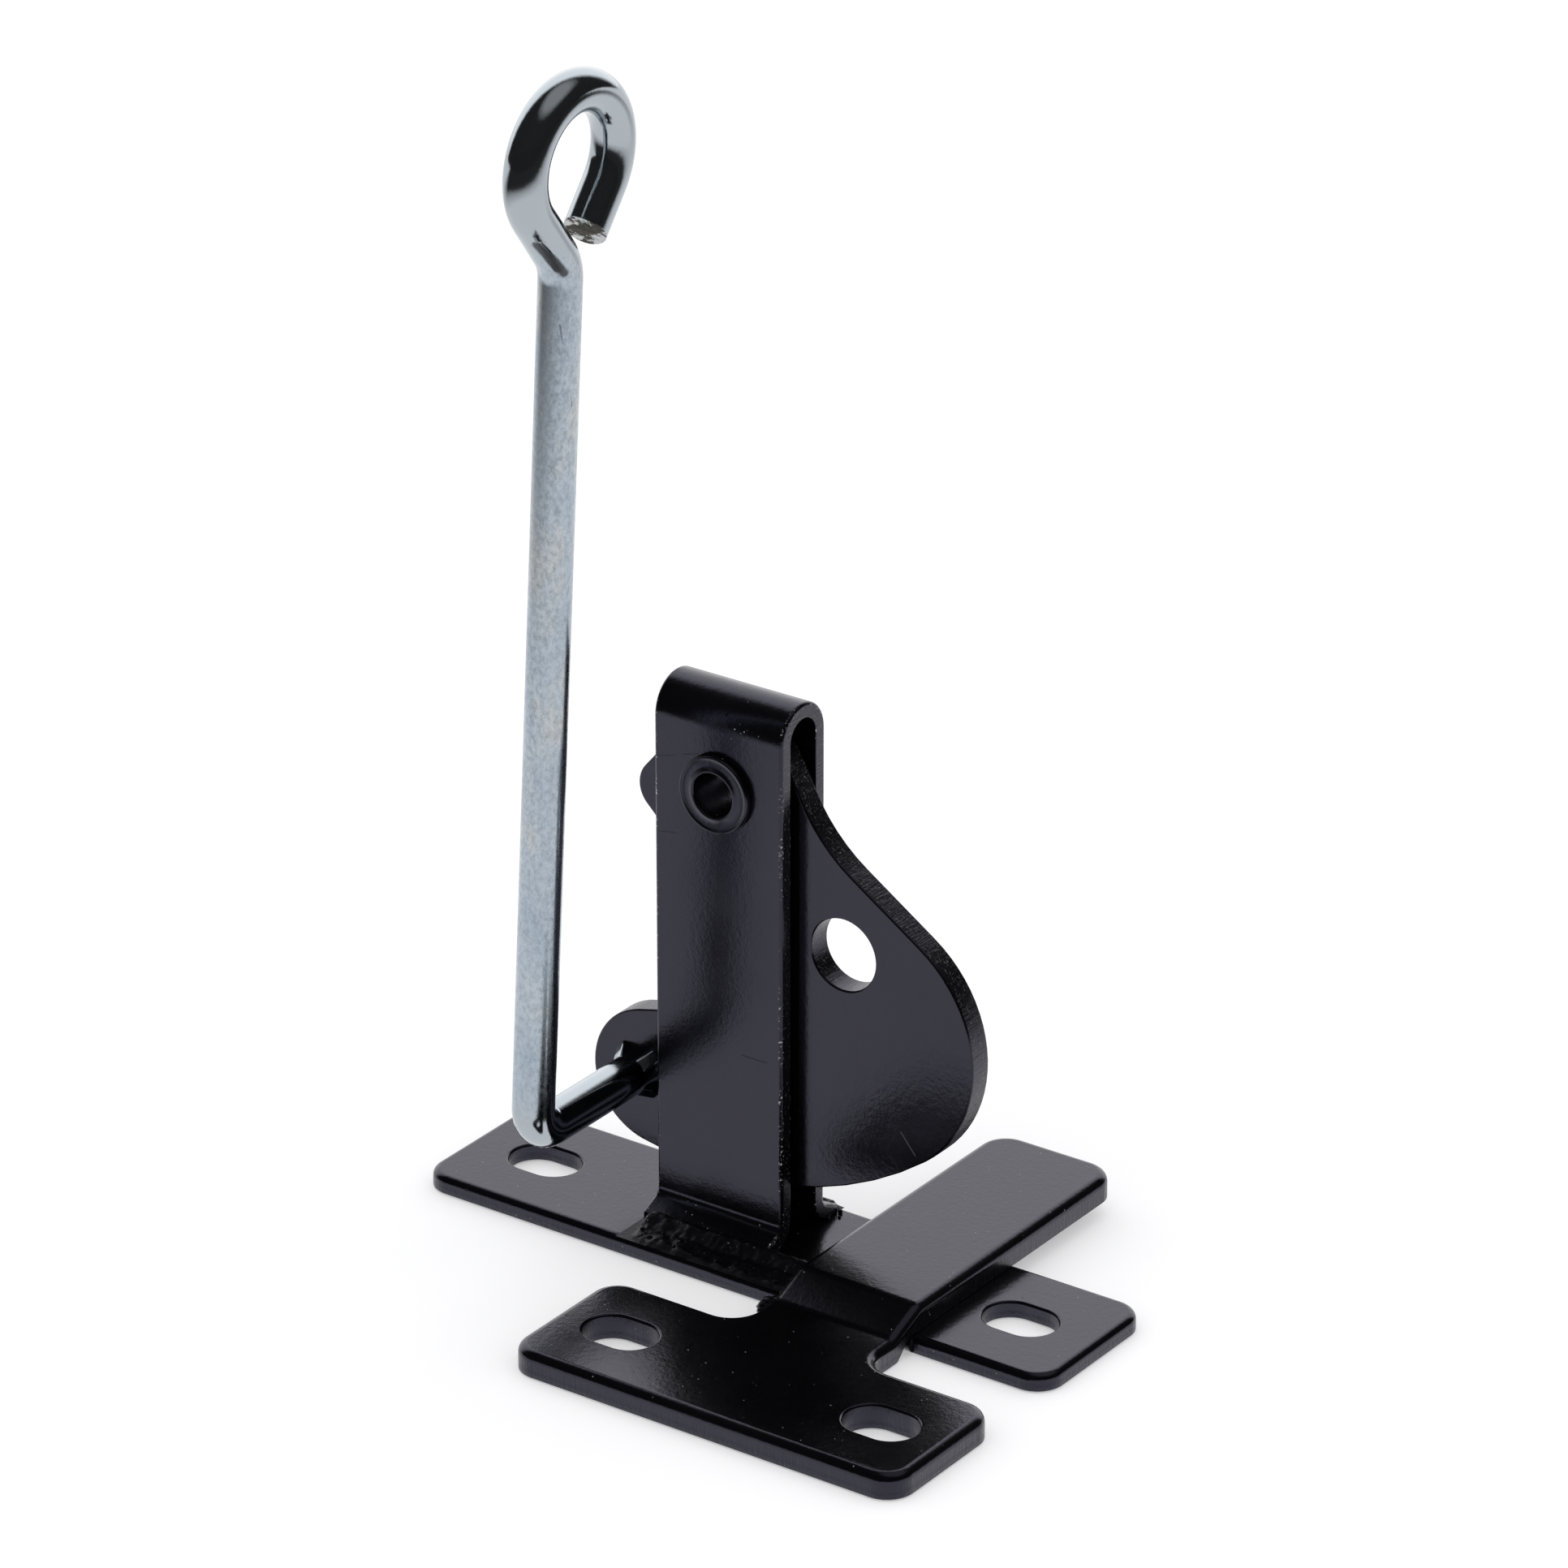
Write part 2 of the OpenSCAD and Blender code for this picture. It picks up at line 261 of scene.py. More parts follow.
def height_above_floor(tree):
    return add(tree, "ShaderNodeSeparateXYZ", Vector=object_place(tree)).outputs["Z"]


def rough_skin(tree, shader, height, depth):
    """Bumps of this depth in metres on the shader."""
    bump = add(tree, "ShaderNodeBump", Height=height, Distance=depth)
    tree.links.new(bump.outputs["Normal"], shader.inputs["Normal"])


def ramp(tree, value, low, high, to_low=0.0, to_high=1.0):
    return add(tree, "ShaderNodeMapRange", Value=value, From_Min=low, From_Max=high,
               To_Min=to_low, To_Max=to_high).outputs["Result"]


def maths(tree, operation, first, second=0.0, third=0.0):
    return add(tree, "ShaderNodeMath", operation=operation, i0=first, i1=second,
               i2=third).outputs[0]


def mix_colour(tree, factor, first, second):
    return add(tree, "ShaderNodeMix", data_type="RGBA", Factor=factor, i6=first,
               i7=second).outputs[2]


def near_line(tree, start, end, width):
    """1 on the line between two points, fading to 0 at this distance from it, all in
    millimetres."""
    start, run = Vector(start) * MM, (Vector(end) - Vector(start)) * MM
    offset = add(tree, "ShaderNodeVectorMath", operation="SUBTRACT", i0=object_place(tree),
                 i1=start).outputs[0]
    along = add(tree, "ShaderNodeVectorMath", operation="DOT_PRODUCT", i0=offset,
                i1=run / run.length_squared).outputs["Value"]
    foot = add(tree, "ShaderNodeVectorMath", operation="SCALE", i0=run,
               Scale=add(tree, "ShaderNodeClamp", Value=along).outputs[0]).outputs[0]
    gap = add(tree, "ShaderNodeVectorMath", operation="DISTANCE", i0=offset,
              i1=foot).outputs["Value"]
    return ramp(tree, gap, 0.5 * width * MM, width * MM, 1, 0)


def any_of(tree, masks):
    total = masks[0]
    for mask in masks[1:]:
        total = maths(tree, "MAXIMUM", total, mask)
    return total


# %% [markdown]
# Pits, dust, knocks and chips come from two patterns. One is round dots in some cells of
# a Voronoi grid, the other is ragged flakes cut out of soft noise.

# %% Dots and flakes
def lucky_dots(tree, spacing, radius, share):
    """Round dots of this radius, about one in each cell of this spacing, for a share of the
    cells; sizes in millimetres."""
    cells = add(tree, "ShaderNodeTexVoronoi", Vector=per_mm(tree, spacing), Scale=1.0)
    chance = add(tree, "ShaderNodeSeparateColor", Color=cells.outputs["Color"]).outputs["Green"]
    dot = ramp(tree, cells.outputs["Distance"], 0.5 * radius / spacing, radius / spacing, 1, 0)
    return maths(tree, "MULTIPLY", dot, ramp(tree, chance, 1 - share, 1.01 - share))


def chipped(tree, size, share, where):
    """Ragged flakes of this size in millimetres inside a mask."""
    flakes = cloudy(tree, size, 4.0, 0.7)
    return maths(tree, "MULTIPLY", ramp(tree, flakes, 0.7 - share, 0.72 - share), where)


# %% [markdown]
# ## Black coat
# The sheet parts are dipped in a black paint that flows out to a fairly glossy film of
# about 20 microns. It hides the steel, so the colour is nearly pure black, and what the eye
# sees is the white room in it, a little blurred, with the fine ripple of orange peel. Small
# pits and grains of dust are caught in the film. IOR 1.56 is that of epoxy resin, and the
# gloss itself has the faint violet that such a film shows.

# %% Black coat
COAT_COLOUR = "#040405"
DUST_COLOUR = "#8d8d90"
BARE_STEEL = "#c4c3bf"
FILM_IOR = 1.56
FILM_TINT = (0.74, 0.72, 1.0, 1)
FILM_RELIEF = 0.02 * MM
ORANGE_PEEL, FINE_RIPPLE, SHEAR_MARKS = 0.9, 0.35, 0.28
TORN_FROM, TORN_BELOW = 1.3 * MM, 0.7 * MM


def black_coat(name, roughness=0.17, shear_axis=None, lumpy=0.0, bare=None, scratches=(),
               gloss=0.5):
    """bare(tree) gives the mask where steel shows, scratches are (start, end) in mm, and
    shear_axis is the axis across the sheet on a cut face."""
    finish, tree, shader = new_finish(name)
    shader.inputs["IOR"].default_value = FILM_IOR
    shader.inputs["Specular IOR Level"].default_value = gloss
    shader.inputs["Specular Tint"].default_value = FILM_TINT
    # pits where a bubble burst, and dust grains that stand out pale
    pits = lucky_dots(tree, 1.7, 0.18, 0.45)
    dust = lucky_dots(tree, 1.4, 0.11, 0.25)
    # each relief is (mask, height), where 1 is the height of the orange peel
    relief = [(cloudy(tree, FINE_RIPPLE, 1.0), 0.6), (pits, -1.0), (dust, 0.5)]
    if shear_axis is not None:
        across = [14 if axis == shear_axis else 1 for axis in range(3)]
        relief.append((cloudy(tree, SHEAR_MARKS, 3.0, 0.65, across), 4.0))
    if shear_axis == 2:
        # the lower third of a bar's edge broke away under the punch, and is rough
        low = ramp(tree, height_above_floor(tree), TORN_FROM, TORN_BELOW)
        relief.append((maths(tree, "MULTIPLY", cloudy(tree, 0.5, 4.0, 0.7), low), 6.0))
    if lumpy:
        relief.append((cloudy(tree, 0.7, 4.0, 0.7), lumpy))
    if scratches:
        grooves = any_of(tree, [near_line(tree, *ends, 0.07) for ends in scratches])
        relief.append((grooves, -2.0))
    height = cloudy(tree, ORANGE_PEEL, 1.5)
    for mask, size in relief:
        height = maths(tree, "MULTIPLY_ADD", mask, size, height)
    rough_skin(tree, shader, height, FILM_RELIEF)
    # the film is a touch duller here and there
    haze = ramp(tree, cloudy(tree, 9, 3.0), 0.35, 0.7, roughness, roughness + 0.06)
    tree.links.new(haze, shader.inputs["Roughness"])
    look = mix_colour(tree, dust, colour(COAT_COLOUR), colour(DUST_COLOUR))
    if bare:
        look = mix_colour(tree, bare(tree), look, colour(BARE_STEEL))
    tree.links.new(look, shader.inputs["Base Color"])
    return finish


# %% [markdown]
# The coat isn't the same everywhere. A rolled edge is chipped in stretches, the front wall
# took a few knocks and scratches, the pawl has one faint rub, and torn or welded metal
# hardly holds the paint. Each of these is a mask for the same coat.

# %% Wear of the coat
HOUSING_FRONT = -2.7


def worn_edge(tree):
    return chipped(tree, 0.4, 0.095, ramp(tree, cloudy(tree, 7, 1.0), 0.45, 0.55))


def on_front_wall(x_from, z_from, x_to, z_to):
    return (x_from, HOUSING_FRONT, z_from), (x_to, HOUSING_FRONT, z_to)


def housing_knocks(tree):
    # struck spots under the fold and beside the wall's edges: a line, and the width it reaches
    spots = [(on_front_wall(-5.2, 79.3, -0.8, 78.2), 1.5),
             (on_front_wall(-3.4, 76.1, -2.7, 72.4), 0.7),
             (on_front_wall(-0.3, 69.0, -0.3, 68.8), 0.5),
             (on_front_wall(-18.6, 76.8, -18.6, 76.2), 0.6),
             (on_front_wall(2.3, 79.6, 2.3, 64.5), 0.4),
             (on_front_wall(-18.1, 10.6, -17.8, 8.2), 0.6),
             (on_front_wall(-18.2, 24.4, -18.0, 22.2), 0.5),
             (on_front_wall(-14.7, 26.7, -14.7, 26.4), 0.5)]
    here = any_of(tree, [near_line(tree, *line, width) for line, width in spots])
    specks = maths(tree, "MAXIMUM", lucky_dots(tree, 0.36, 0.1, 0.17),
                   lucky_dots(tree, 0.7, 0.17, 0.3))
    return maths(tree, "MULTIPLY", here, specks)


def pawl_rub(tree):
    # a faint rub on the face, low on the nose
    rub = near_line(tree, (20.1, 0.55, 24.9), (22.5, 0.55, 22.0), 0.12)
    return maths(tree, "MULTIPLY", rub, 0.12)


def weld_flecks(tree):
    return chipped(tree, 0.5, 0.03, 0.35)


def thin_coat(tree):
    # torn metal hardly holds the paint, so it shines through in small flakes
    return chipped(tree, 0.4, 0.1, 0.12)


# flat sheet: black gloss in which the eye sees the studio, with pinpricks and dust
coat_flat = black_coat("black_dip_coat")
# the rivet's lip: thin rings of light, a little softer
coat_rim = black_coat("black_coat_on_rivet", 0.2)
# a rolled edge: a line of light, broken by small pale chips
coat_roll = black_coat("black_coat_on_rolled_edge", 0.2, bare=worn_edge)
# a crossbar's cut edge: dull streaks from top to bottom, crumbly in the lower third
coat_shear_z = black_coat("black_coat_on_sheared_edge", 0.24, shear_axis=2)
# the housing's and the pawl's cut edges: the same streaks from front to back, with flecks
coat_shear_y = black_coat("black_coat_on_blanked_edge", 0.24, shear_axis=1, bare=thin_coat)
# the housing: the same gloss with struck spots of bare steel and four fine scratches
coat_housing = black_coat("black_coat_on_housing", bare=housing_knocks,
                          scratches=[on_front_wall(-18.1, 72.6, -15.2, 73.4),
                                     on_front_wall(-13.9, 73.9, -11.4, 74.6),
                                     on_front_wall(-18.4, 61.2, -15.0, 61.8),
                                     on_front_wall(-4.2, 30.9, 0.0, 30.9)])
# the pawl: the same gloss with one faint rub
coat_pawl = black_coat("black_coat_on_pawl", bare=pawl_rub)
# the welds: dull and lumpy, so the light breaks up into specks
coat_weld = black_coat("black_coat_on_weld", 0.36, lumpy=2.4, bare=weld_flecks, gloss=0.2)
print("black finishes:", [finish.name for finish in bpy.data.materials
                          if finish.name.startswith("black_")])

# %% [markdown]
# ## Zinc plate
# The rod is drawn steel wire, plated with zinc and passivated clear with a blue tint. The
# straight leg keeps the satin, slightly cloudy look of plated wire. The eye was rubbed
# bright by the bending tool. Zinc is a metal, so all its colour comes from reflection.

# %% Zinc plate
EYE_RUBBED_FROM, EYE_RUBBED_TO = 150 * MM, 156 * MM
CORNER_RUBBED_FROM, CORNER_RUBBED_TO = 30 * MM, 24 * MM
ZINC_COLOURS = ((0.3, "#a5b1bd"), (0.5, "#b0bac4"), (0.72, "#c2c2bf"))
FROST_COLOUR = "#7f8a94"
RUBBED_COLOUR = "#a9b0b6"
SPOILED_COLOUR = "#55585b"
WIRE_RELIEF = 0.008 * MM


def zinc_plate():
    finish, tree, shader = new_finish("blue_zinc_plate")
    shader.inputs["Metallic"].default_value = 1.0
    # 0 on the leg, 1 on the eye and the corner that the bending tool has rubbed bright
    level = height_above_floor(tree)
    bright = maths(tree, "MAXIMUM", ramp(tree, level, EYE_RUBBED_FROM, EYE_RUBBED_TO),
                   ramp(tree, level, CORNER_RUBBED_FROM, CORNER_RUBBED_TO))
    tint = add(tree, "ShaderNodeValToRGB", Fac=cloudy(tree, 5, 4.0, 0.6, (1, 1, 3)))
    stops = tint.color_ramp.elements
    stops.new(0.5)
    for stop, (position, hex_value) in zip(stops, ZINC_COLOURS):
        stop.position = position
        stop.color = colour(hex_value)
    # the tool's bite below the eye, a long scratch, and pits in the plating
    bite = near_line(tree, (-15.8, -31.4, 156.2), (-15.1, -26.6, 150.9), 0.85)
    scratch = near_line(tree, (-16.0, -26.5, 143.6), (-15.6, -24.7, 131.8), 0.14)
    spoiled = maths(tree, "MAXIMUM", bite, maths(tree, "MULTIPLY", scratch, 0.6))
    pits = lucky_dots(tree, 1.1, 0.11, 0.35)
    frost = cloudy(tree, 0.6, 4.0, 0.75, (1, 1, 1.6))
    leg = mix_colour(tree, ramp(tree, frost, 0.42, 0.68, 0, 0.5), tint.outputs["Color"],
                     colour(FROST_COLOUR))
    leg = mix_colour(tree, maths(tree, "MULTIPLY", pits, 0.6), leg, colour(SPOILED_COLOUR))
    look = mix_colour(tree, bright, leg, colour(RUBBED_COLOUR))
    look = mix_colour(tree, spoiled, look, colour(SPOILED_COLOUR))
    tree.links.new(look, shader.inputs["Base Color"])
    satin = ramp(tree, frost, 0.35, 0.65, 0.17, 0.3)
    rough = add(tree, "ShaderNodeMix", data_type="FLOAT", Factor=bright, A=satin,
                B=0.12).outputs[0]
    tree.links.new(maths(tree, "MAXIMUM", rough, maths(tree, "MULTIPLY", bite, 0.34)),
                   shader.inputs["Roughness"])
    # drawing lines run along the wire over the grain of the plating
    grain = cloudy(tree, 0.5, 2.0, stretch=(1, 1, 2))
    drawn = cloudy(tree, 0.3, 2.0, stretch=(1, 1, 60))
    height = maths(tree, "MULTIPLY_ADD", drawn, 0.6, grain)
    height = maths(tree, "MULTIPLY_ADD", spoiled, -6.0, height)
    rough_skin(tree, shader, height, WIRE_RELIEF)
    return finish


# %% [markdown]
# The rod was cut to length after plating, so its end is bare steel: half of it smooth from
# the blade and half torn and dark.

# %% Sheared wire end
SMOOTH_CUT_COLOUR = "#b9bcbd"
TORN_CUT_COLOUR = "#4b4740"
TORN_RELIEF = 0.5 * MM


def sheared_wire():
    finish, tree, shader = new_finish("sheared_wire_end")
    shader.inputs["Metallic"].default_value = 1.0
    torn = cloudy(tree, 2.6, 4.0, 0.6)
    part = ramp(tree, torn, 0.47, 0.53)
    look = mix_colour(tree, part, colour(SMOOTH_CUT_COLOUR), colour(TORN_CUT_COLOUR))
    tree.links.new(look, shader.inputs["Base Color"])
    tree.links.new(ramp(tree, part, 0, 1, 0.25, 0.5), shader.inputs["Roughness"])
    rough_skin(tree, shader, torn, TORN_RELIEF)
    return finish


# the wire: satin blue-grey that turns to a mirror on the eye and at the corner
zinc = zinc_plate()
# its end: one bright half and one dark
cut_steel = sheared_wire()
print("rod finishes:", zinc.name, "and", cut_steel.name)

# %% [markdown]
# ## The two crossbars
# Both plates are blanked from sheet. The punch rounds the edge on the side that it enters
# (the die roll, on top here) and leaves the other edge crisp. A wide bevel on the top edges
# and a hair of one below gives exactly that. The faces between them are sheared metal, so
# they get the finish with shear marks.

# %% Rear crossbar
REAR_BAR_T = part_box("rear_crossbar")[1].z
REAR_BAR_ROLL = 1.1 * MM
SLOT_ROLL = 0.4 * MM
BURR = 0.12 * MM
SLOT_HALF_LENGTH = 6.5 * MM
SLOT_HALF_WIDTH = 4.5 * MM
COAT, SHEARED, ROLLED = 0, 1, 2


def in_slot(slots):
    """True for a point inside one of the slots, given as (x, y) centres."""
    def test(point):
        return any(abs(point.x - x) < SLOT_HALF_LENGTH and abs(point.y - y) < SLOT_HALF_WIDTH
                   for x, y in slots)
    return test


def middle(edge):
    return (edge.verts[0].co + edge.verts[1].co) / 2


def is_side(face):
    return abs(face.normal.z) < 0.1


REAR_SLOTS = [(-40.5 * MM, 0), (40.5 * MM, 0)]
rear_slot = in_slot(REAR_SLOTS)
on_top = edges_at(2, REAR_BAR_T)
rear_crossbar = copy_of("rear_crossbar", "rear_crossbar_sheet")
coat(rear_crossbar, coat_flat, coat_shear_z, coat_roll)
give_finish(rear_crossbar, is_side, SHEARED)
round_edges(rear_crossbar, lambda e: on_top(e) and not rear_slot(middle(e)), REAR_BAR_ROLL,
            steps=6, finish=COAT)
round_edges(rear_crossbar, lambda e: on_top(e) and rear_slot(middle(e)), SLOT_ROLL, finish=COAT)
round_edges(rear_crossbar, edges_at(2, 0), BURR, steps=1, finish=ROLLED)
smooth(rear_crossbar)
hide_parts("rear_crossbar")
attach(rear_crossbar, "bracket")

# %% [markdown]
# The stop plate steps up over the rear crossbar, so its top edge is found by the faces
# beside it: one looks up and the other sideways. Its sheet is thicker than the crossbar's,
# and so is its die roll.

# %% Stop plate
STOP_PLATE_ROLL = 1.4 * MM
FRONT_SLOTS = [(-0.5 * MM, -36.3 * MM), (42.5 * MM, -36.3 * MM)]


def looks_up(normal):
    return normal.z > 0.6


def looks_down(normal):
    return normal.z < -0.6


def looks_aside(normal):
    return abs(normal.z) < 0.1


front_slot = in_slot(FRONT_SLOTS)
upper = edges_between(looks_up, looks_aside)
stop_plate = copy_of("stop_plate", "stop_plate_sheet")
coat(stop_plate, coat_flat, coat_shear_z, coat_roll)
give_finish(stop_plate, is_side, SHEARED)
round_edges(stop_plate, lambda e: upper(e) and not front_slot(middle(e)), STOP_PLATE_ROLL,
            steps=6, finish=COAT)
round_edges(stop_plate, lambda e: upper(e) and front_slot(middle(e)), SLOT_ROLL, finish=COAT)
round_edges(stop_plate, edges_between(looks_down, looks_aside), BURR, steps=1, finish=ROLLED)
smooth(stop_plate)
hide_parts("stop_plate")
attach(stop_plate, "bracket")

# %% [markdown]
# ## Pawl housing
# One strip folded double. Its long edges were sheared before the fold: the outside is the
# rolled side of the cut and the inside its burr side. An edge is where the coat is thinnest,
# so it is chipped there.

# %% Pawl housing
PIVOT = Vector((-8.2, 2.45, 69.6)) * MM
OUTER_EDGE = 0.5 * MM
INNER_EDGE = 0.18 * MM
strip_low, strip_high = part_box("pawl_housing")
STRIP_X = (strip_low.x + strip_high.x) / 2
STRIP_HALF_WIDTH = (strip_high.x - strip_low.x) / 2


def looks_along_bar(normal):
    return abs(normal.x) > 0.9


def on_outside(edge):
    """True on the strip's outer long edges: the wall's normal there points away from the
    middle of the housing, or up on the toes."""
    wall = min(edge.link_faces, key=lambda face: abs(face.normal.x))
    side = 1 if middle(edge).y > PIVOT.y else -1
    return wall.normal.y * side + wall.normal.z > 0


def is_long_edge(edge):
    return abs(abs(middle(edge).x - STRIP_X) - STRIP_HALF_WIDTH) < 0.01 * MM


housing = copy_of("pawl_housing", "pawl_housing_strip")
coat(housing, coat_housing, coat_shear_y, coat_roll)
give_finish(housing, lambda face: looks_along_bar(face.normal), SHEARED)
round_edges(housing, lambda e: is_long_edge(e) and on_outside(e), OUTER_EDGE, finish=ROLLED)
round_edges(housing, lambda e: is_long_edge(e) and not on_outside(e), INNER_EDGE, steps=2,
            finish=ROLLED)
smooth(housing)
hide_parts("pawl_housing")
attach(housing, "bracket")

# %% [markdown]
# ## Pawl
# Blanked from the thicker sheet. The punched side faces the front, so the front edge and
# the padlock hole have the rounder edge.

# %% Pawl
PAWL_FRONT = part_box("pawl")[0].y
PAWL_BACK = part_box("pawl")[1].y
PUNCHED_EDGE = 0.3 * MM
BURR_EDGE = 0.15 * MM

pawl = copy_of("pawl", "pawl_plate")
coat(pawl, coat_pawl, coat_shear_y, coat_roll)
give_finish(pawl, lambda face: abs(face.normal.y) < 0.1, SHEARED)
round_edges(pawl, edges_at(1, PAWL_FRONT), PUNCHED_EDGE, steps=3, finish=COAT)
round_edges(pawl, edges_at(1, PAWL_BACK), BURR_EDGE, steps=2, finish=ROLLED)
smooth(pawl)
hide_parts("pawl")
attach(pawl, "pawl")

# %% [markdown]
# ## Hollow rivet
# A tube whose two ends are rolled outwards over the housing. It is turned like a vase:
# one ring of points is extruded and resized again and again, and the last ring is bridged
# back to the first, so the wall is closed all round.

# %% Turning
def turned(name, centre, rings, points=72):
    """A closed body of revolution along Y: rings are (radius, y) pairs in metres."""
    deselect_all()
    radius, y = rings[0]
    bpy.ops.mesh.primitive_circle_add(vertices=points, radius=radius, fill_type="NOTHING",
                                      location=(centre.x, y, centre.z),
                                      rotation=(math.pi / 2, 0, 0))
    piece = bpy.context.active_object
    piece.name = piece.data.name = name
    bpy.ops.object.transform_apply(location=True, rotation=True, scale=True)
    bpy.ops.object.mode_set(mode="EDIT")
    for next_radius, next_y in rings[1:]:
        bpy.ops.mesh.extrude_region_move(TRANSFORM_OT_translate={"value": (0, next_y - y, 0)})
        factor = next_radius / radius
        bpy.ops.transform.resize(value=(factor, 1, factor),
                                 center_override=(centre.x, next_y, centre.z))
        radius, y = next_radius, next_y
    pick(piece, "EDGE", lambda edge: len(edge.link_faces) == 1)
    bpy.ops.mesh.bridge_edge_loops()
    bpy.ops.mesh.select_all(action="SELECT")
    bpy.ops.mesh.normals_make_consistent(inside=False)
    finish_edit()
    return piece


# %% [markdown]
# The rolled lip is drawn as a profile: radius and height above the housing, from the bore,
# over the lip and back under it to the shaft. The rear lip is the same one mirrored.

# %% Hollow rivet
RIVET_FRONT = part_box("pivot_rivet")[0].y
LIP = [(3.2, -0.3), (3.2, 0.9), (3.24, 1.12), (3.36, 1.26), (3.52, 1.3), (3.68, 1.25),
       (3.85, 1.14), (4.3, 1.07), (4.9, 1.05), (5.2, 1.1), (5.34, 1.18), (5.46, 1.2),
       (5.58, 1.14), (5.67, 0.98), (5.7, 0.75), (5.69, 0.45), (5.6, 0.2), (5.45, 0.0), (4.0, 0.0)]
lip_height = max(height for _, height in LIP)
front_lip = [(r * MM, RIVET_FRONT + (lip_height - h) * MM) for r, h in LIP]
back_lip = [(r, 2 * PIVOT.y - y) for r, y in reversed(front_lip)]
rivet = turned("rolled_rivet", PIVOT, front_lip + back_lip)
coat(rivet, coat_rim)
smooth(rivet, 50)
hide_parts("pivot_rivet")
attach(rivet, "bracket")
print("rivet faces:", len(rivet.data.polygons))

# %% [markdown]
# ## Pull rod
# A bent rod is drawn the way it is made: a round section is pushed forward for each
# straight and swept round a centre for each bend. The section starts behind the pawl with
# the spread head, narrows to the tenon, and then follows the rod to its cut end.

# %% Pull rod: sizes and directions
ROD_D = 6 * MM
# a hair under the radius, so that the swept section stays inside the model's rod
SECTION_R = 2.99 * MM
TENON_R = 2.5 * MM
HEAD_R = 4 * MM
HEAD_TOP_R = 3.6 * MM
HEAD_ROUNDING = 0.12 * MM
SHOULDER = 0.01 * MM
ROD_REACH = 24.7 * MM
CORNER_R = 4.4 * MM
LEG_L = 127.4 * MM
LEAN = math.radians(3.0)
JOG_R = 7 * MM
JOG_ANGLE = math.radians(38)
EYE_R = 9.5 * MM
EYE_TURN = math.radians(253)
EYE_OFFSET = 1.2 * MM
TAIL_L = 7.2 * MM
PAWL_T = PAWL_BACK - PAWL_FRONT
HEAD_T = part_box("pull_rod")[1].y - PAWL_BACK
STUB = Vector((-24.286 * MM, PAWL_FRONT, 21.518 * MM))

FORWARD = Vector((0, -1, 0))
UP = Vector((math.sin(LEAN), 0, math.cos(LEAN)))
ACROSS = FORWARD.cross(UP)

# %% [markdown]
# Two moves draw any bent rod. Pushing extrudes the section along a straight, and sweeping
# spins it round the centre of a bend. A third move changes its size on the way.

# %% Pushing and sweeping a section
def push(direction, length, steps=1):
    for _ in range(steps):
        bpy.ops.mesh.extrude_region_move(
            TRANSFORM_OT_translate={"value": tuple(direction * (length / steps))})


def sweep(centre, axis, angle, steps):
    # spin turns the other way round its axis than a rotation does
    bpy.ops.mesh.spin(steps=steps, angle=-angle, center=centre, axis=axis)


def push_to_radius(point, direction, length, factor):
    """Pushes the section on, then resizes it round its own middle."""
    push(direction, length)
    point = point + direction * length
    bpy.ops.transform.resize(value=(factor, factor, factor), center_override=point)
    return point


# %% [markdown]
# The rod's end is turned down to a tenon, put through the pawl and hammered flat behind it.
# The steps in its size are a hundredth of a millimetre long, so they look square.

# %% Spread head and tenon
deselect_all()
point = STUB - FORWARD * (PAWL_T + HEAD_T)
bpy.ops.mesh.primitive_circle_add(vertices=40, radius=HEAD_TOP_R, fill_type="NGON",
                                  location=point, rotation=(math.pi / 2, 0, 0))
rod = bpy.context.active_object
rod.name = rod.data.name = "pull_rod_bar"
bpy.ops.object.transform_apply(location=True, rotation=True, scale=True)
bpy.ops.object.mode_set(mode="EDIT")
bpy.ops.mesh.select_mode(type="FACE")
bpy.ops.mesh.select_all(action="SELECT")
radius = HEAD_TOP_R
for length, next_radius in ((HEAD_ROUNDING, HEAD_R), (HEAD_T - HEAD_ROUNDING, HEAD_R),
                            (SHOULDER, TENON_R), (PAWL_T - SHOULDER, TENON_R),
                            (SHOULDER, SECTION_R)):
    point = push_to_radius(point, FORWARD, length, next_radius / radius)
    radius = next_radius

# %% [markdown]
# From the pawl the rod runs forward, turns up into the leg and leans a little. Then it jogs
# forward, so that the eye sits over the leg, and is wound round to its cut end. The length
# of the straight in the jog follows from where the eye's centre has to be.

# %% Reach, leg and eye
push(FORWARD, ROD_REACH - CORNER_R - SHOULDER, 10)
point = STUB + FORWARD * (ROD_REACH - CORNER_R)
sweep(point + UP * CORNER_R, ACROSS, math.pi / 2, 14)
point = point + (FORWARD + UP) * CORNER_R
push(UP, LEG_L - CORNER_R, 60)
point = point + UP * (LEG_L - CORNER_R)
sweep(point + FORWARD * JOG_R, ACROSS, -JOG_ANGLE, 10)
jog_dir = UP * math.cos(JOG_ANGLE) + FORWARD * math.sin(JOG_ANGLE)
jog_side = FORWARD * math.cos(JOG_ANGLE) - UP * math.sin(JOG_ANGLE)
point = point + FORWARD * JOG_R - jog_side * JOG_R
jog_run = (((JOG_R + EYE_R) * math.cos(JOG_ANGLE) - JOG_R - EYE_OFFSET)
           / math.sin(JOG_ANGLE))
push(jog_dir, jog_run, 3)
point = point + jog_dir * jog_run
eye_centre = point - jog_side * EYE_R
sweep(eye_centre, ACROSS, EYE_TURN, 64)
end_angle = EYE_TURN - JOG_ANGLE
tail_dir = UP * math.cos(end_angle) - FORWARD * math.sin(end_angle)
push(tail_dir, TAIL_L, 5)
print("eye centre", tuple(round(v / MM, 2) for v in eye_centre))

# %% [markdown]
# The cutter came in at a slant from the front right. The last ring of points is found by
# its plane, and each point is moved along the rod by how far it lies to that side.

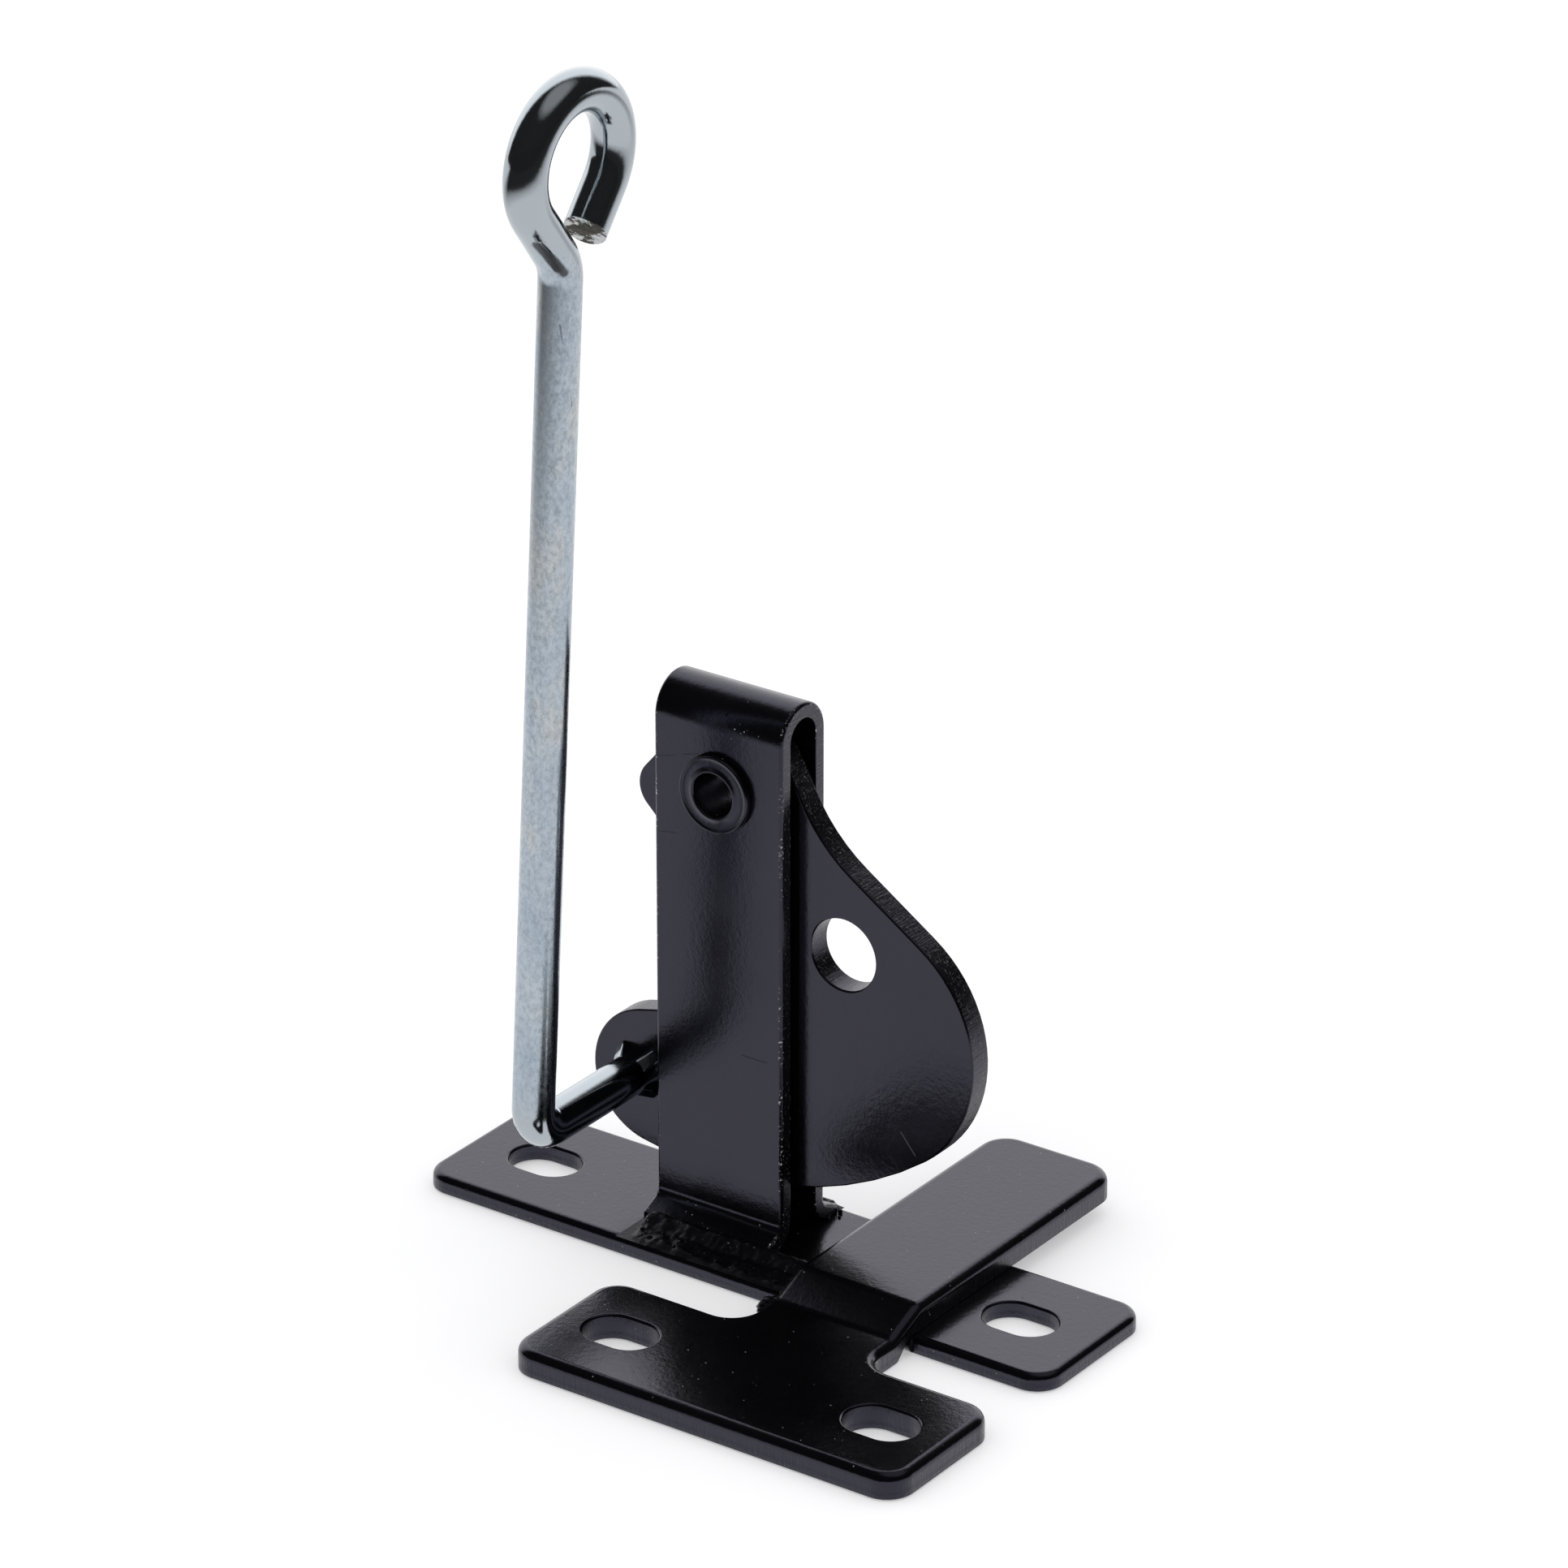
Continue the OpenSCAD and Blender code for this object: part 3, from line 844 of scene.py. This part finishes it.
# %% Cut end
CUT_SLOPE = 0.4
CUT_LONGER = 0.7 * MM
CUT_ACROSS, CUT_ASIDE = 0.5, 0.86
RING_TOLERANCE = 0.001 * MM
tail_start = eye_centre - ((eye_centre - point) * math.cos(EYE_TURN)
                           - jog_dir * EYE_R * math.sin(EYE_TURN))
end_point = tail_start + tail_dir * TAIL_L
cut_side = -(ACROSS * CUT_ACROSS + tail_dir.cross(ACROSS) * CUT_ASIDE)
cage = bmesh.from_edit_mesh(rod.data)
cut_ring = [v for v in cage.verts
            if abs((v.co - end_point).dot(tail_dir)) < RING_TOLERANCE
            and (v.co - end_point).length < 1.01 * ROD_D / 2]
for vertex in cut_ring:
    aside = (vertex.co - end_point).dot(cut_side) + ROD_D / 2
    vertex.co -= tail_dir * (CUT_SLOPE * aside - CUT_LONGER)
bmesh.update_edit_mesh(rod.data)
print("cut end moved", len(cut_ring), "points")
bpy.ops.mesh.select_all(action="SELECT")
bpy.ops.mesh.normals_make_consistent(inside=False)
finish_edit()

# %% [markdown]
# The rod can't turn in the pawl because four ears were staked up from it, against the
# pawl's face. Each is a small wedge: one is modelled and then copied round the rod.

# %% Staked ears
EAR_OUT = 4.6 * MM
EAR_DEEP = 3.2 * MM
EAR_L = 2.9 * MM
EAR_W = 2.0 * MM
EAR_SLOPE = (-1.9 * MM, 0.1 * MM, 0)
EAR_EDGE = 0.3 * MM


def staked_ear(turn):
    deselect_all()
    bpy.ops.mesh.primitive_cube_add(size=1, location=(0, 0, 0))
    ear = bpy.context.active_object
    ear.scale = (EAR_DEEP, EAR_L, EAR_W)
    ear.location = (EAR_OUT - EAR_DEEP / 2, -EAR_L / 2, 0)
    bpy.ops.object.transform_apply(location=True, rotation=True, scale=True)
    bpy.ops.object.mode_set(mode="EDIT")
    # the outer end slopes down to the rod, away from the pawl
    pick(ear, "EDGE", lambda e: all(v.co.x > EAR_OUT * 0.9 and v.co.y < -EAR_L * 0.9
                                    for v in e.verts))
    bpy.ops.transform.translate(value=EAR_SLOPE)
    bpy.ops.mesh.select_all(action="SELECT")
    bpy.ops.mesh.bevel(offset=EAR_EDGE, segments=3, affect="EDGES", clamp_overlap=True)
    finish_edit()
    ear.rotation_euler = (0, turn, 0)
    ear.location = STUB
    bpy.ops.object.transform_apply(location=True, rotation=True, scale=True)
    return ear


ears = [staked_ear(math.radians(angle)) for angle in (45, 135, 225, 315)]
work_on(rod)
for ear in ears:
    ear.select_set(True)
bpy.ops.object.join()
CUT = 1
coat(rod, zinc, cut_steel)
cut_faces = give_finish(rod, lambda face: len(face.verts) > 30
                        and (face.calc_center_median() - end_point).length < ROD_D, CUT)
print("cut faces", cut_faces)
smooth(rod, 50)
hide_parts("pull_rod")
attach(rod, "pawl")

# %% [markdown]
# ## Weld beads
# The beads are the roughest thing on the latch: they sag, ripple and leave spatter. Each
# starts as a fine grid lying on the sheet, is raised to its section point by point with a
# noise that stays the same at every run, and is then extruded down to the sheet.

# %% Weld beads
THINNEST = 0.02 * MM


def rough_bead(name, low, high, face, section, cell=0.3 * MM):
    """A bead over the rectangle low..high. section(point) gives the height over the sheet
    at a point of it, and face turns the whole from lying flat to where it belongs."""
    deselect_all()
    width, depth = high[0] - low[0], high[1] - low[1]
    bpy.ops.mesh.primitive_grid_add(x_subdivisions=round(width / cell), size=1,
                                    y_subdivisions=round(depth / cell))
    bead = bpy.context.active_object
    bead.name = bead.data.name = name
    bead.scale = (width, depth, 1)
    bead.location = ((low[0] + high[0]) / 2, (low[1] + high[1]) / 2, 0)
    bpy.ops.object.transform_apply(location=True, rotation=True, scale=True)
    edit(bead)
    bpy.ops.mesh.select_all(action="SELECT")
    bpy.ops.mesh.extrude_region_move(TRANSFORM_OT_translate={"value": (0, 0, MM)})
    bpy.ops.mesh.select_all(action="SELECT")
    bpy.ops.mesh.normals_make_consistent(inside=False)
    finish_edit()
    for vertex in bead.data.vertices:
        if vertex.co.z > MM / 2:
            vertex.co.z = max(THINNEST, section(vertex.co))
    bead.data.transform(face)
    return bead


def ripple(point, size, seed):
    return noise.fractal(Vector((point.x, point.y, seed)) / size, 0.9, 2.0, 4)


def ease(value):
    value = min(1.0, max(0.0, value))
    return value * value * (3 - 2 * value)


def spatter(places):
    """Little balls of metal thrown out by the arc, stuck to the sheet."""
    balls = []
    for x, y, z, radius in places:
        deselect_all()
        bpy.ops.mesh.primitive_ico_sphere_add(subdivisions=2, radius=radius * MM,
                                              location=(x * MM, y * MM, z * MM))
        ball = bpy.context.active_object
        bpy.ops.object.transform_apply(location=True, rotation=True, scale=True)
        for vertex in ball.data.vertices:
            from_middle = vertex.co - Vector((x, y, z)) * MM
            vertex.co += from_middle * 0.5 * noise.noise(vertex.co / (0.4 * MM))
        balls.append(ball)
    return balls


def join(pieces, name):
    work_on(pieces[0])
    for piece in pieces[1:]:
        piece.select_set(True)
    bpy.ops.object.join()
    pieces[0].name = pieces[0].data.name = name
    print(name, "has", len(pieces[0].data.polygons), "faces")
    return pieces[0]


# %% [markdown]
# In front of the housing's toe the weld is wide and flat. It covers the crossbar from the
# toe to its front edge and runs to the stop plate's neck. It is thick against the toe, has
# one ragged end at the left and dips over the crossbar's rolled edge.

# %% Weld in front of the housing
TOE_FRONT = -6.3
UNDER_TOE = 1.4
BAR_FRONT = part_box("rear_crossbar")[0].y
ON_REAR_BAR = Matrix.Translation((0, 0, REAR_BAR_T))
FRONT_BEAD_LOW = (-18.8 * MM, BAR_FRONT)
FRONT_BEAD_HIGH = (10.9 * MM, (TOE_FRONT + UNDER_TOE) * MM)


def front_section(point):
    """Thick against the toe, thin over the crossbar's rolled edge."""
    x, y = point.x / MM, point.y / MM
    against_toe = (1.25 * ease((y + 8.8) / 2.4) + 0.42) * ease((-5.0 - y) / 0.9)
    thin_front = ease((y + 12.75) / 1.1)
    # the left end wanders by a millimetre or two, and sinks into the sheet
    ragged = (-18.3 + 0.9 * ease((-6.5 - y) / 3) + 1.0 * ease((-10.6 - y) / 2)
              + 0.5 * ripple(point, 1.3 * MM, 3.0))
    end = ease((x - ragged) / 1.1)
    lumps = 0.3 * ripple(point, 2.6 * MM, 1.0) + 0.13 * ripple(point, 0.8 * MM, 2.0)
    return (against_toe + lumps) * thin_front * end * MM - 0.3 * MM * (1 - end)


bead = rough_bead("front_bead", FRONT_BEAD_LOW, FRONT_BEAD_HIGH, ON_REAR_BAR, front_section)
flecks = spatter([(-16.4, -9.6, 3.1, 0.32), (-14.2, -10.9, 3.0, 0.42),
                  (-13.1, -9.2, 3.2, 0.22), (-9.8, -11.2, 3.0, 0.3),
                  (-6.0, -10.4, 3.1, 0.18), (-2.5, -11.4, 3.0, 0.3),
                  (3.2, -10.2, 3.1, 0.24), (7.6, -11.5, 3.0, 0.35)])
front_weld = join([bead] + flecks, "front_toe_bead")
coat(front_weld, coat_weld)
smooth(front_weld, 70)
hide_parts("front_toe_weld")
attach(front_weld, "bracket")

# %% [markdown]
# Behind the rear toe there is only a small fillet, highest against the toe and gone
# a millimetre and a half behind it.

# %% Small weld behind the rear toe
TOE_BACK = 11.2
OVER_TOE = 0.5
REAR_BEAD_LOW = (-18.2 * MM, (TOE_BACK - OVER_TOE) * MM)
REAR_BEAD_HIGH = (2.4 * MM, 12.65 * MM)
FINE_CELL = 0.25 * MM


def rear_section(point):
    """Falls from the toe to the sheet, and tapers at both ends."""
    x, y = point.x / MM, point.y / MM
    fall = 1.45 * (1 - ease((y - TOE_BACK) / 1.5))
    ends = ease((x + 17.9) / 1.0) * ease((2.2 - x) / 0.8)
    return (fall + 0.18 * ripple(point, 1.4 * MM, 5.0)) * ends * MM


bead = rough_bead("rear_bead", REAR_BEAD_LOW, REAR_BEAD_HIGH, ON_REAR_BAR, rear_section,
                  FINE_CELL)
flecks = spatter([(2.9, 10.9, 2.85, 0.34), (3.6, 9.7, 2.7, 0.24), (2.7, 8.2, 2.8, 0.28)])
rear_weld = join([bead] + flecks, "rear_toe_bead")
coat(rear_weld, coat_weld)
smooth(rear_weld, 70)
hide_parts("rear_toe_weld")
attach(rear_weld, "bracket")

# %% [markdown]
# The bead under the step stands on the crossbar's front edge, so its grid is drawn lying
# and then stood up. The weld also ran a little way along the neck's side, in lumps.

# %% Bead under the step
neck_low, neck_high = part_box("neck_weld")
ON_BAR_FRONT = (Matrix.Translation((0, BAR_FRONT, 0))
                @ Matrix.Rotation(math.pi / 2, 4, "X"))
NECK_BEAD_LOW = (neck_low.x - 1.5 * MM, 0.3 * MM)
NECK_BEAD_HIGH = (neck_high.x + 0.25 * MM, REAR_BAR_T)


def neck_section(point):
    """A round back from the crossbar's bottom edge to its top, tapered at the left."""
    x, z = point.x / MM, point.y / MM
    round_back = math.sin(math.pi * min(1.0, max(0.0, (z - 0.2) / 2.6))) ** 0.7
    left_end = ease((x - 9.2) / 0.8)
    return (1.15 * round_back * left_end + 0.2 * ripple(point, 1.2 * MM, 7.0)) * MM


neck_bead = rough_bead("neck_bead", NECK_BEAD_LOW, NECK_BEAD_HIGH, ON_BAR_FRONT,
                       neck_section, FINE_CELL)
lumps = spatter([(10.2, -15.0, 2.1, 1.0), (10.1, -16.1, 2.4, 1.2), (10.0, -17.2, 2.3, 1.1),
                 (10.3, -18.2, 2.2, 0.8), (9.9, -13.4, 1.7, 0.8)])
neck_bead = join([neck_bead] + lumps, "neck_bead")
coat(neck_bead, coat_weld)
smooth(neck_bead, 70)
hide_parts("neck_weld")
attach(neck_bead, "bracket")

# %% [markdown]
# ## Floor
# The photograph is a product shot: a white table, a white backdrop behind it and a dark
# room around. Black gloss and bright metal are drawn by where the white ends, so the table
# fades out a quarter to half a metre away, a little sooner on the left, and goes on only
# towards the backdrop. Just reflections see that: the eye sees a plain white floor with the
# object's soft shadow.

# %% Floor
FLOOR_SIZE = 6
FLOOR_GAP = 0.2 * MM
TABLE_COLOUR = "#dcdcde"
FADES_FROM, FADES_TO = 0.28, 0.52
BACK_STAYS_LIT, FRONT_FADES = -0.35, -0.1
SOONER_ON_LEFT = 0.15
TOWARDS_FRONT = (0.676, -0.737, 0)
TOWARDS_LEFT = (-0.737, -0.676, 0)
LIT_STRENGTH, DARK_STRENGTH = 1.05, 0.03
GLOW_TO_THE_EYE = 0.35

deselect_all()
bpy.ops.mesh.primitive_plane_add(size=FLOOR_SIZE, location=(0, 0, -FLOOR_GAP))
floor = bpy.context.active_object
floor.name = "studio_floor"


def how_far(tree, place, direction):
    """Distance of a place along a direction."""
    return add(tree, "ShaderNodeVectorMath", operation="DOT_PRODUCT", i0=place,
               i1=direction).outputs["Value"]


def white_table():
    finish, tree, shader = new_finish("white_table")
    shader.inputs["Base Color"].default_value = colour(TABLE_COLOUR)
    shader.inputs["Roughness"].default_value = 0.9
    shader.inputs["Specular IOR Level"].default_value = 0.1
    rays = add(tree, "ShaderNodeLightPath")
    place = object_place(tree)
    ahead = how_far(tree, place, TOWARDS_FRONT)
    far = add(tree, "ShaderNodeVectorMath", operation="LENGTH", i0=place).outputs["Value"]
    reach = maths(tree, "MULTIPLY_ADD", how_far(tree, place, TOWARDS_LEFT), SOONER_ON_LEFT,
                  far)
    edge = maths(tree, "MULTIPLY", ramp(tree, reach, FADES_FROM, FADES_TO),
                 ramp(tree, ahead, BACK_STAYS_LIT, FRONT_FADES))
    lit = ramp(tree, edge, 0, 1, LIT_STRENGTH, DARK_STRENGTH)
    mirrored = add(tree, "ShaderNodeEmission", Strength=lit)
    glow = maths(tree, "MULTIPLY", rays.outputs["Is Camera Ray"], GLOW_TO_THE_EYE)
    emission = add(tree, "ShaderNodeEmission", Strength=glow)
    both = add(tree, "ShaderNodeAddShader", i0=shader.outputs["BSDF"], i1=emission.outputs[0])
    shown = add(tree, "ShaderNodeMixShader", i0=rays.outputs["Is Glossy Ray"],
                i1=both.outputs[0], i2=mirrored.outputs[0])
    tree.links.new(shown.outputs[0], tree.nodes["Material Output"].inputs["Surface"])
    return finish


# the table: matt white that shows nothing but the soft shadow
coat(floor, white_table())
print("floor:", FLOOR_SIZE, "m wide")

# %% [markdown]
# ## Light tent
# The light is one plain white sky all round, of strength 1, so a colour renders about as it
# is written. Reflections see the studio instead: a bright backdrop that leans over the
# latch from behind, a dim ceiling that comes further down on the right, and a dark room.

# %% Light tent
BACKDROP = (-0.676, 0.737, 0.12)
CEILING = (0.27, 0.12, 1)
# where each begins and where it is full: about the cosine of the angle from its middle
BACKDROP_RIM = (0.53, 0.69)
CEILING_RIM = (0.84, 0.98)
BACKDROP_STRENGTH = 1.5
CEILING_STRENGTH = 0.4
ROOM_STRENGTH = 0.02

world = bpy.data.worlds.new("light_tent")
bpy.context.scene.world = world
world.use_nodes = True
tent = world.node_tree
background = tent.nodes["Background"]
direction = add(tent, "ShaderNodeTexCoord").outputs["Generated"]
rays = add(tent, "ShaderNodeLightPath")
backdrop = ramp(tent, how_far(tent, direction, BACKDROP), *BACKDROP_RIM, 0, BACKDROP_STRENGTH)
ceiling = ramp(tent, how_far(tent, direction, CEILING), *CEILING_RIM, 0, CEILING_STRENGTH)
mirrored = maths(tent, "MAXIMUM", maths(tent, "MAXIMUM", backdrop, ceiling), ROOM_STRENGTH)
strength = add(tent, "ShaderNodeMix", data_type="FLOAT", Factor=rays.outputs["Is Glossy Ray"],
               A=1.0, B=mirrored).outputs[0]
tent.links.new(strength, background.inputs["Strength"])
background.inputs["Color"].default_value = (1, 1, 1, 1)
bpy.context.scene.view_settings.view_transform = "Standard"
print("light tent:", len(tent.nodes), "nodes")
